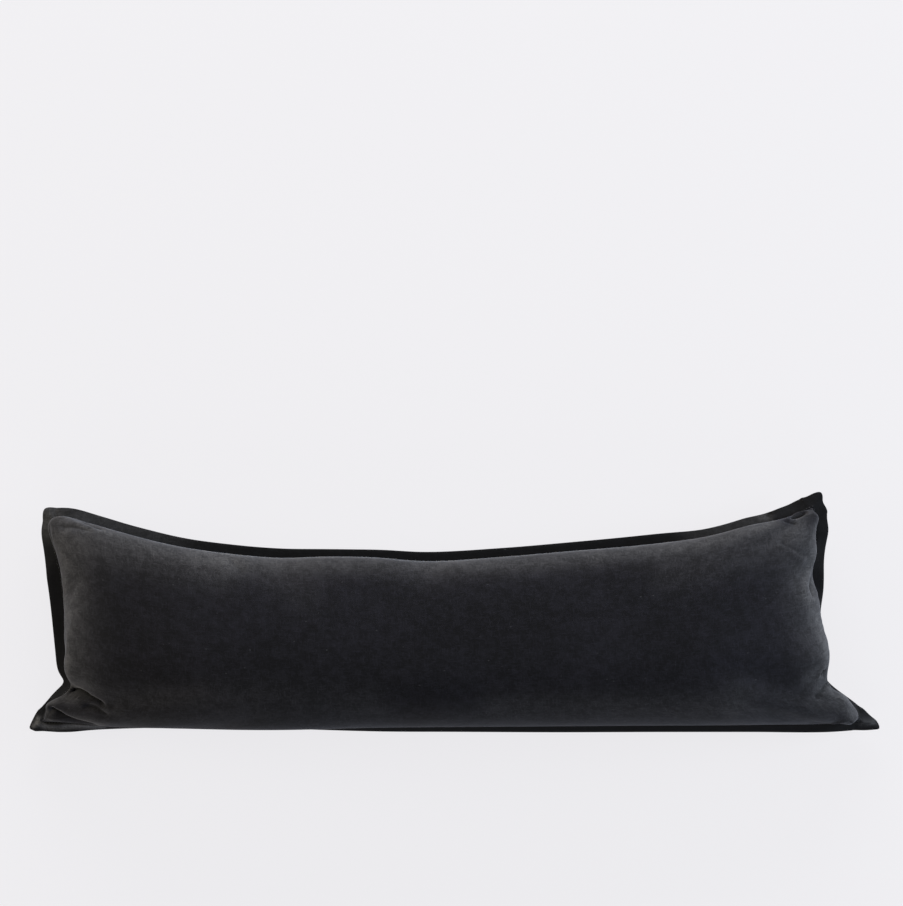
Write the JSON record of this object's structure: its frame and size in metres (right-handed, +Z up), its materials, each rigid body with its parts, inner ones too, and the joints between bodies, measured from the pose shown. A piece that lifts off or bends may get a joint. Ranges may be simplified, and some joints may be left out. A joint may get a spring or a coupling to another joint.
{
  "type": "lumbar pillow",
  "caption": "Long filled velvet cushion with a crowned face, drawn-in sides and a narrow sewn flange, lying on its back.",
  "frame": {"origin": "on the surface that the pillow lies on, under the middle of its outline", "axes": "+X along the length, +Y to the top edge of the face, +Z up, out of the face"},
  "size_m": [1.2322, 0.3476, 0.1448],
  "materials": {
    "velvet": "washed cotton velvet in charcoal, matt and dark face on, paler where the pile is seen edgewise",
    "thread": "matching charcoal sewing thread, used only for the stitches in the visual model"
  },
  "bodies": {
    "root": {"cushion": "velvet", "flange": "velvet"}
  },
  "joints": []
}
